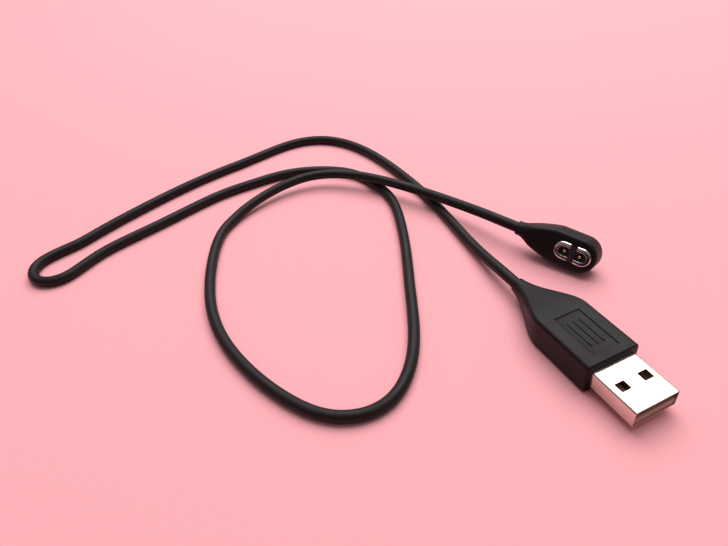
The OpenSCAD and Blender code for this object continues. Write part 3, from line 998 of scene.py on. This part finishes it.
    def build_shell(self) -> bpy.types.Object:
        """Folds the steel shell, with its latch windows, its seam and its rounded mouth.

        Returns:
            The shell's piece.
        """
        outer = (self.shell_w / 2, self.shell_h / 2, self.shell_corner)
        window_ys = [s * self.window_pitch / 2 + t * self.window_w / 2 for s in (-1, 1) for t in (-1, 1)]
        cuts = (*window_ys, -self.seam, self.seam)
        bm = round_rectangle(self.shell_w, self.shell_h, self.shell_corner, segments=6, cuts=cuts)
        skin = RingSkin(bm, bm.edges)

        def ring(x: float, inset: float) -> Placer:
            def place(mark: Vector) -> Vector:
                y, z = mark.y, mark.z
                if abs(y) > outer[0] - outer[2] or abs(z) < outer[1] - NEAR_MM:
                    y, z = corner_section(mark, outer, tuple(o - inset for o in outer))
                else:
                    z = math.copysign(outer[1] - inset, z)
                return Vector((x, y, self.axis_z + z))

            return place

        x1 = self.mouth_x - self.window_setback
        x0 = x1 - self.window_l
        back, edge = self.front_x - self.shell_root, self.mouth_x - self.mouth_lip
        skin.lay(ring(back, self.shell_sheet))
        for x in (x0, x1, self.mouth_x):
            skin.grow(ring(x, self.shell_sheet))
        for a in reversed(quarter(3)[1:]):
            skin.grow(ring(edge + self.mouth_lip * math.sin(a), self.mouth_lip * (1 - math.cos(a))))
        for x in (edge, x1, x0, back):
            skin.grow(ring(x, 0.0))
        bmesh.ops.bridge_loops(bm, edges=[e for e in bm.edges if e.is_boundary])
        bmesh.ops.recalc_face_normals(bm, faces=bm.faces)
        for side in (-1, 1):
            for z in (-1, 1):
                self.punch_window(bm, x0, x1, side * self.window_pitch / 2, z)
        bottom = near(self.axis_z - outer[1])
        groove = faces_in(bm, (back + NEAR_MM, edge), (-self.seam, self.seam), bottom)
        recess(bm, groove, [(self.seam_edge, -self.seam_depth)])
        sharp = self.shell_sharp_deg
        return finish_piece(
            bm, "plug_shell", "cable", Finish.SHELL, ["usb_shell"], sharp_deg=sharp
        )

    def punch_window(self, bm: BMesh, x0: float, x1: float, y: float, side: int) -> None:
        """Punches one latch window through the shell.

        Args:
            bm: The shell's mesh.
            x0: The window's end towards the grip.
            x1: Its end towards the mouth.
            y: Its middle across the shell.
            side: 1 for the top and -1 for the bottom.
        """
        outer_z = self.axis_z + side * self.shell_h / 2
        inner_z = outer_z - side * self.shell_sheet
        through = (min(outer_z, inner_z) - NEAR_MM, max(outer_z, inner_z) + NEAR_MM)
        walls = faces_in(bm, (x0, x1), about(y, self.window_w), through)
        rims = [e for f in walls for e in f.edges]
        bmesh.ops.delete(bm, geom=walls, context="FACES_ONLY")
        made = bmesh.ops.bridge_loops(bm, edges=rims)["faces"]
        upright = [
            e
            for e in {e for f in made for e in f.edges}
            if abs(e.verts[0].co.z - e.verts[1].co.z) > self.shell_sheet / 2
        ]
        soften(bm, upright, self.window_corner, segments=3)
        rim = [
            e
            for e in sharp_edges(bm, STEEP_DEG)
            if all(
                x0 - NEAR_MM <= v.co.x <= x1 + NEAR_MM
                and abs(v.co.y - y) < self.window_w / 2 + NEAR_MM
                and abs(v.co.z - outer_z) < NEAR_MM
                for v in e.verts
            )
        ]
        soften(bm, rim, self.window_edge)

    def build_tongue(self) -> bpy.types.Object:
        """Moulds the plastic tongue with its contact slots, and the block behind the mouth.

        Returns:
            The tongue's piece.
        """
        wall = self.shell_sheet + self.carrier_gap
        half = self.shell_w / 2 - wall
        low_z = self.axis_z - self.shell_h / 2 + wall
        top_z = self.tongue_z
        roof_z = self.axis_z + self.shell_h / 2 - wall
        back, front = self.front_x - self.carrier_root, self.tongue_x
        step_x = self.mouth_x - self.mouth_depth
        bm = bmesh.new()
        box_mesh(bm, (back, -half, low_z), (front, half, top_z))
        ends = (front - self.power_setback, front - self.data_setback)
        cuts = [((x, 0, 0), (1, 0, 0)) for x in (step_x, *ends)]
        slots = self.contacts().values()
        cuts += [((0, edge, 0), (0, 1, 0)) for y, _ in slots for edge in about(y, self.contact_w)]
        for place, way in cuts:
            geom = bm.verts[:] + bm.edges[:] + bm.faces[:]
            bmesh.ops.bisect_plane(bm, geom=geom, plane_co=place, plane_no=way)
        for y, setback in slots:
            groove = faces_in(bm, (step_x, front - setback), about(y, self.contact_w), near(top_z))
            bmesh.ops.inset_region(bm, faces=groove, thickness=self.slot_draft, depth=-self.contact_sink)
        block = faces_in(bm, (back, step_x), (-half, half), near(top_z))
        grown = bmesh.ops.extrude_face_region(bm, geom=block)["geom"]
        lifted = [g for g in grown if isinstance(g, BMVert)]
        bmesh.ops.translate(bm, vec=(0, 0, roof_z - top_z), verts=lifted)
        bmesh.ops.delete(bm, geom=[f for f in block if f.is_valid], context="FACES")
        nose = [e for e in sharp_edges(bm) if all(abs(v.co.x - front) < NEAR_MM for v in e.verts)]
        soften(bm, nose, self.tongue_edge, segments=3)
        return finish_piece(
            bm, "plug_tongue", "cable", Finish.CARRIER, ["contact_carrier"]
        )

    def build_contacts(self) -> list[bpy.types.Object]:
        """Stamps the four contact strips.

        Returns:
            The strips' pieces.
        """
        z, half = self.tongue_z - self.contact_sink, self.contact_w / 2 - self.contact_play
        pieces = []
        for node, (y, setback) in self.contacts().items():
            end = self.tongue_x - setback - self.contact_end_play
            low = (self.front_x - self.carrier_root, y - half, z + self.contact_lift)
            bm = bmesh.new()
            box_mesh(bm, low, (end, y + half, z + self.contact_t))
            upper = [e for e in bm.edges if all(v.co.z > z + self.contact_t / 2 for v in e.verts)]
            tip = [e for e in upper if all(v.co.x > end - NEAR_MM for v in e.verts)]
            soften(bm, tip, self.contact_tip, segments=4)
            soften(bm, sharp_edges(bm, STEEP_DEG), self.contact_edge)
            pieces.append(finish_piece(bm, f"plug_{node}", "cable", Finish.CONTACT, [node]))
        return pieces


# ---------- Magnetic head ----------


@dataclass
class MagneticHead:
    """The rounded head with two C-shaped magnets round two sprung pins.

    It is modelled in its own frame: x from the neck to the tip, y across the contact face, z out of the face.
    """

    length: float = 23.3
    width: float = 9.3
    thickness: float = 6.0
    edge: float = 0.9
    edge_flat: float = 0.02
    face_border: float = 0.08
    neck_d: float = 4.0
    neck_l: float = 1.0
    taper_l: float = 10.5
    swell_l: float = 4.5
    side_steps: int = 34
    tip_steps: int = 24
    x: float = -41.8
    y: float = 13.3
    yaw: float = 25.0
    dip: float = 4.0
    lean: float = 17.0
    oval_l: float = 10.3
    oval_w: float = 5.2
    oval_setback: float = 1.2
    band_w: float = 1.3
    magnet_t: float = 1.8
    magnet_proud: float = 0.25
    magnet_bevel: float = 0.3
    magnet_inner_bevel: float = 0.1
    magnet_edge: float = 0.07
    magnet_end_edge: float = 0.09
    magnet_crown: float = 0.05
    magnet_crown_shift: float = 0.1
    magnet_crown_cuts: int = 7
    magnet_split: float = 1.7
    seat_depth: float = 1.2
    seat_edge: float = 0.05
    floor_t: float = 0.6
    floor_depth: float = 0.7
    hole_edge: float = 0.03
    arc_step: float = 0.2
    bridge_inset: float = 0.05
    bridge_root: float = 0.5
    bridge_edge: float = 0.12
    seat_gap: float = 0.02
    pin_pitch: float = 4.2
    plunger_d: float = 0.8
    shoulder_d: float = 1.0
    shoulder_l: float = 1.2
    pin_play: float = 0.03
    pin_travel: float = 0.7
    pin_reach: float = 0.95
    barrel_cover: float = 0.3
    barrel_end: float = 0.3
    back_wall: float = 0.8
    board_t: float = 0.8
    spring_wire: float = 0.15
    spring_turns: int = 5
    spring_steps: int = 14
    pin_stop: float = 0.02

    @property
    def face_z(self) -> float:
        """Height of the contact face above the head's axis."""
        return self.thickness / 2

    @property
    def oval_x(self) -> float:
        """Place of the oval's middle."""
        return self.length - self.oval_setback - self.oval_l / 2

    @property
    def floor_z(self) -> float:
        """Height of the pin floor."""
        return self.face_z - self.floor_depth

    @property
    def shoulder_z(self) -> float:
        """Height of the underside of a plunger's shoulder."""
        return self.floor_z - self.barrel_cover - self.barrel_end - self.pin_stop - self.shoulder_l

    @property
    def spring_z(self) -> float:
        """Height of the floor that a pin's spring stands on."""
        return -self.face_z + self.back_wall + self.board_t + self.barrel_end

    def axis(self) -> Vector:
        """Gives the way from the neck to the tip."""
        return (self.turn() @ Vector((1, 0, 0))).normalized()

    def turn(self) -> Matrix:
        """Gives the head's rotation in the lead's frame."""
        turns = ((self.yaw, "Z"), (self.dip, "Y"), (90 - self.lean, "X"))
        result = Matrix.Identity(4)
        for angle, axis in turns:
            result = result @ Matrix.Rotation(math.radians(angle), 4, axis)
        return result

    def exit(self) -> Vector:
        """Gives the point where the cord enters the neck, with the head's lowest point on z = 0."""
        lean, dip = math.radians(self.lean), math.radians(self.dip)
        height = (
            self.edge
            + (self.face_z - self.edge) * math.sin(lean) * math.cos(dip)
            + (self.width / 2 - self.edge) * math.hypot(math.cos(lean) * math.cos(dip), math.sin(dip))
            + (self.length - self.width / 2) * math.sin(dip)
        )
        return Vector((self.x, self.y, height))

    def local(self) -> Matrix:
        """Gives the head's own frame."""
        return Matrix.Translation(self.exit()) @ self.turn()

    def way(self, x: float, length: float) -> float:
        """Says how far x has come along a stretch behind the neck, from 0 to 1."""
        return min(max((x - self.neck_l) / length, 0), 1)

    def share(self, x: float) -> float:
        """Says how far the head has widened at x, from 0 at its neck to 1."""
        way = self.way(x, self.taper_l)
        return (way + ease(way)) / 2

    def swell(self, x: float) -> float:
        """Says how far the head has thickened at x, from 0 at its neck to 1."""
        return ease(self.way(x, self.swell_l))

    def outline(self) -> list[Rim]:
        """Gives the head's outline, from the neck round the tip and back.

        Returns:
            The place and the outward way at each point, as x, y, way x and way y.
        """
        n, r = self.neck_d / 2, self.width / 2
        side = [k / self.side_steps * (self.length - r) for k in range(self.side_steps)]
        half = [(x, n + (r - n) * self.share(x), 0.0, 1.0) for x in side]
        for a in reversed(quarter(self.tip_steps)):
            half.append((self.length - r + r * math.cos(a), r * math.sin(a), math.cos(a), math.sin(a)))
        return half + [(x, -y, a, -b) for x, y, a, b in reversed(half[:-1])]

    def point(self, p: Rim, side: int, a: float, border: float = 0.0) -> Vector:
        """Gives an outline point on the lower (side -1) or upper (side 1) edge.

        Args:
            p: The outline's point.
            side: The edge.
            a: Angle round the edge's rounding.
            border: How far the point lies inside the rounding, on the flat.

        Returns:
            The point.
        """
        n, swell = self.neck_d / 2, self.swell(p[0])
        r = (n - self.edge_flat) * (1 - swell) + self.edge * swell
        t = n + (self.face_z - n) * swell
        inset = r * (1 - math.cos(a)) + border * swell
        return Vector((p[0] - inset * p[2], p[1] - inset * p[3], side * (t - r) + r * math.sin(a)))

    def build_body(self) -> bpy.types.Object:
        """Moulds the head's body with the oval seat in its face.

        Returns:
            The body's piece.
        """
        outline = self.outline()
        bm = bmesh.new()
        first = [bm.verts.new((k, 0, 0)) for k in range(len(outline))]
        for k, vert in enumerate(first):
            bm.edges.new((vert, first[(k + 1) % len(first)]))
        skin = RingSkin(bm, bm.edges)

        def level(side: int, a: float, border: float = 0.0) -> Placer:
            return lambda mark: self.point(outline[round(mark.x)], side, a, border)

        bottom = skin.lay(level(-1, -math.pi / 2, self.face_border)).ring
        for a in reversed(quarter(6)):
            skin.grow(level(-1, -a))
        for a in quarter(6):
            skin.grow(level(1, a))
        skin.grow(level(1, math.pi / 2, self.face_border))
        self.cover(bm, bottom, outline, self.length)
        self.cover(bm, skin.ring, outline, self.neck_l + self.taper_l)
        rim = [e for e in bm.edges if e.is_boundary]
        gap = self.seat_gap + self.face_border
        oval = stadium_ring(bm, self.oval_l + 2 * gap, self.oval_w + 2 * gap, self.face_z, segments=64)
        bmesh.ops.translate(bm, vec=(self.oval_x, 0, 0), verts=ring_verts(oval))
        bmesh.ops.triangle_fill(bm, edges=rim + oval, use_beauty=True)
        inwards = (self.oval_w / 2 + self.seat_gap) / (self.oval_w / 2 + gap)
        for shrink, depth in ((inwards, 0.0), (1.0, self.seat_depth)):
            seat, oval = oval, extrude_ring(bm, oval)
            for vert in ring_verts(oval):
                end_x = self.oval_x + math.copysign((self.oval_l - self.oval_w) / 2, vert.co.x - self.oval_x)
                vert.co = (end_x + (vert.co.x - end_x) * shrink, vert.co.y * shrink, vert.co.z - depth)
        bmesh.ops.contextual_create(bm, geom=oval)
        soften(bm, seat, self.seat_edge)
        return finish_piece(
            bm, "head_body", "cable", Finish.OVERMOULD, ["head_overmould"], self.local()
        )

    def cover(self, bm: BMesh, ring: list[BMEdge], outline: list[Rim], reach: float) -> None:
        """Closes the underside or the face with strips across it, from the neck as far as reach.

        Args:
            bm: The head's mesh.
            ring: The edges of the ring that is closed.
            outline: The head's outline.
            reach: How far along the head the strips go.
        """
        mark = bm.verts.layers.float_vector["mark"]
        by_place = {round(v[mark].x): v for v in ring_verts(ring)}
        last = len(outline) - 1
        for k in range(last // 2):
            if outline[k + 1][0] > reach + MERGE_MM:
                break
            corners = [by_place[k], by_place[k + 1], by_place[last - k - 1], by_place[last - k]]
            bmesh.ops.contextual_create(bm, geom=list(dict.fromkeys(corners)))

    def build_block(self) -> bpy.types.Object:
        """Moulds the pin floor and the bar between the magnets.

        Returns:
            The block's piece.
        """
        inset = 2 * (self.band_w + self.seat_gap)
        bm = bmesh.new()
        rings = stadium_ring(bm, self.oval_l - inset, self.oval_w - inset, self.floor_z, segments=48)
        radius = self.plunger_d / 2 + self.pin_play + self.hole_edge
        for x in about(0, self.pin_pitch):
            place = Matrix.Translation((x, 0, self.floor_z))
            hole = bmesh.ops.create_circle(bm, segments=32, radius=radius, matrix=place)
            rings += list({e for v in hole["verts"] for e in v.link_edges})
        bmesh.ops.triangle_fill(bm, edges=rings, use_beauty=True)
        lower = extrude_ring(bm, rings)
        bmesh.ops.translate(bm, vec=(0, 0, -self.floor_t), verts=ring_verts(lower))
        bmesh.ops.triangle_fill(bm, edges=lower, use_beauty=True)
        arcs = [e for e in rings if e.is_valid and e.calc_length() < self.arc_step]
        soften(bm, arcs, self.hole_edge)
        half = self.magnet_split / 2 - self.seat_gap
        low = (-half, -self.oval_w / 2, self.floor_z - self.bridge_root)
        bar = box_mesh(bm, low, (half, self.oval_w / 2, self.face_z - self.bridge_inset))
        top = {e for v in bar for e in v.link_edges if all(q.co.z > self.floor_z for q in e.verts)}
        soften(bm, top, self.bridge_edge, segments=3)
        bmesh.ops.translate(bm, vec=(self.oval_x, 0, 0), verts=bm.verts)
        return finish_piece(
            bm, "head_contact_block", "cable", Finish.BLOCK, ["contact_block"], self.local()
        )

    def build_magnet(self, side: int) -> bpy.types.Object:
        """Sweeps one C-shaped magnet round its end of the oval.

        Args:
            side: -1 for the magnet towards the neck and 1 for the one towards the tip.

        Returns:
            The magnet's piece.
        """
        middle = (self.oval_w - self.band_w) / 2
        half = self.band_w / 2
        top = self.face_z + self.magnet_proud
        low, turn_x, start_x = top - self.magnet_t, (self.oval_l - self.oval_w) / 2, self.magnet_split / 2
        bm = bmesh.new()
        far = (start_x + self.band_w, middle + half, top)
        corners = box_mesh(bm, (start_x, middle - half, low), far)
        bmesh.ops.delete(bm, geom=[v for v in corners if v.co.x > start_x + half], context="VERTS")
        inner, outer = sorted((v for v in bm.verts if v.co.z > top - MERGE_MM), key=lambda v: v.co.y)
        round_verts(bm, [inner], self.magnet_inner_bevel, segments=3)
        round_verts(bm, [outer], self.magnet_bevel, segments=1)
        chamfer = [v for v in bm.verts if v.co.y > middle and v.co.z > low + self.magnet_t / 2]
        round_verts(bm, chamfer, self.magnet_edge, segments=3)
        bmesh.ops.delete(bm, geom=bm.faces[:], context="FACES_ONLY")
        face = [e for e in bm.edges if all(v.co.z > top - MERGE_MM for v in e.verts)]
        bmesh.ops.subdivide_edges(bm, edges=face, cuts=self.magnet_crown_cuts)
        for vert in (v for v in bm.verts if v.co.z > low + self.magnet_t / 2):
            share = (vert.co.y - middle + self.magnet_crown_shift) / half
            vert.co.z -= self.magnet_crown * share**2
        ring = list(bm.edges)
        bmesh.ops.contextual_create(bm, geom=ring)
        caps = bm.faces[:]
        ring = extrude_ring(bm, ring)
        bmesh.ops.translate(bm, vec=(turn_x - start_x, 0, 0), verts=ring_verts(ring))
        ring = extrude_ring(bm, spin_edges(bm, ring, turn_x, math.pi, steps=32, up=-1))
        bmesh.ops.translate(bm, vec=(start_x - turn_x, 0, 0), verts=ring_verts(ring))
        caps += bmesh.ops.contextual_create(bm, geom=ring)["faces"]
        rims = {e for f in caps for e in f.edges if any(v.co.z > low + self.magnet_t / 2 for v in e.verts)}
        soften(bm, rims, self.magnet_end_edge, segments=3)
        if side < 0:
            bmesh.ops.rotate(bm, cent=(0, 0, 0), matrix=Matrix.Rotation(math.pi, 3, "Z"), verts=bm.verts)
        bmesh.ops.translate(bm, vec=(self.oval_x, 0, 0), verts=bm.verts)
        name = "magnet_left" if side < 0 else "magnet_right"
        return finish_piece(bm, f"head_{name}", "cable", Finish.MAGNET, [name], self.local())

    def spun(self, profile: list[Span], x: float, segments: int = 40) -> BMesh:
        """Turns a profile round a pin's axis.

        Args:
            profile: Radius and height of each corner, from the top down.
            x: The axis's place along the head.
            segments: Facets round the axis.

        Returns:
            The turned mesh.
        """
        bm = bmesh.new()
        line = [bm.verts.new((x + r, 0, z)) for r, z in profile]
        edges = [bm.edges.new(pair) for pair in zip(line, line[1:])]
        spin_edges(bm, edges, x, math.tau, steps=segments, merge=True)
        return bm

    def build_pin(self, number: int) -> list[bpy.types.Object]:
        """Turns one pin's plunger and winds its coil spring.

        Args:
            number: 1 for the pin towards the neck and 2 for the one towards the tip.

        Returns:
            The plunger and the spring.
        """
        x = self.oval_x + (-1 if number == 1 else 1) * self.pin_pitch / 2
        tip, r = self.floor_z + self.pin_reach, self.plunger_d / 2
        dome = [(r * math.sin(a), tip - r + r * math.cos(a)) for a in quarter(10)]
        wide, top, low = self.shoulder_d / 2, self.shoulder_z + self.shoulder_l, self.shoulder_z
        shaft = [(r, top), (wide, top), (wide, low), (0, low)]
        plunger = finish_piece(
            self.spun(dome + shaft, x), f"head_plunger_{number}", f"plunger_{number}", Finish.CONTACT,
            [f"pin_plunger_{number}"], self.local(),
        )  # fmt: skip
        return [plunger, self.build_spring(number, x)]

    def build_spring(self, number: int, x: float) -> bpy.types.Object:
        """Winds one pin's coil spring.

        Args:
            number: The pin's number.
            x: The pin's place along the head.

        Returns:
            The spring.
        """
        wire, per_turn = self.spring_wire / 2, self.spring_steps
        radius = self.shoulder_d / 2 - self.pin_play - wire
        rise = self.shoulder_z - self.spring_z - 2 * wire
        bm = bmesh.new()
        bmesh.ops.create_circle(bm, segments=6, radius=wire)
        skin = RingSkin(bm, bm.edges)
        count = self.spring_turns * per_turn
        for k in range(count + 1):
            angle = math.tau * k / per_turn
            turn = Matrix.Rotation(angle, 4, "Z") @ Matrix.Rotation(math.pi / 2, 4, "X")
            centre = Vector((x, 0, self.spring_z + wire + rise * k / count))
            place = Matrix.Translation(centre) @ turn @ Matrix.Translation((radius, 0, 0))
            (skin.grow if k else skin.lay)(lambda mark, place=place: place @ mark)
        bmesh.ops.holes_fill(bm, edges=[e for e in bm.edges if e.is_boundary], sides=0)
        name, node = f"head_spring_{number}", f"pin_spring_{number}"
        piece = finish_piece(bm, name, "cable", Finish.SPRING, [node], self.local())
        normal = self.turn() @ Vector((0, 0, 1))
        anchor = self.local() @ Vector((x, 0, self.spring_z)) * MM
        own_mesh(piece)
        return piece


# ---------- Hidden pieces ----------

HIDDEN_FINISHES = {
    "plug_inner_mould": Finish.INNER,
    "plug_wire_red": Finish.RED_WIRE,
    "plug_wire_black": Finish.BLACK_WIRE,
    "head_inner_mould": Finish.INNER,
    "head_wire_red": Finish.RED_WIRE,
    "head_wire_black": Finish.BLACK_WIRE,
    "head_board": Finish.BOARD,
    "magnet_yoke": Finish.STEEL,
    "pin_barrel_1": Finish.CONTACT,
    "pin_barrel_2": Finish.CONTACT,
}


def dress_hidden() -> None:
    """Gives the sealed inner pieces their finishes."""
    for node, finish in HIDDEN_FINISHES.items():
        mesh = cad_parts[node].data
        mesh.materials.clear()
        mesh.materials.append(material_of(finish))
        log.info("%s: kept as packed", node)


def main() -> None:
    """Builds the camera, the cord, the plug, the head and the studio in order."""
    logging.basicConfig(level=logging.INFO, format="%(name)s %(message)s")
    studio = Studio()
    studio.build_camera()
    plug = UsbPlug()
    head = MagneticHead()
    Lead(plug.exit(), head.exit(), head.axis()).build()
    plug.build_grip()
    plug.build_shell()
    plug.build_tongue()
    plug.build_contacts()
    head.build_body()
    head.build_block()
    for side in (-1, 1):
        head.build_magnet(side)
    for number in (1, 2):
        head.build_pin(number)
    dress_hidden()
    studio.build_floor()
    studio.build_light()
    bpy.context.view_layer.update()


if __name__ == "__main__":
    main()
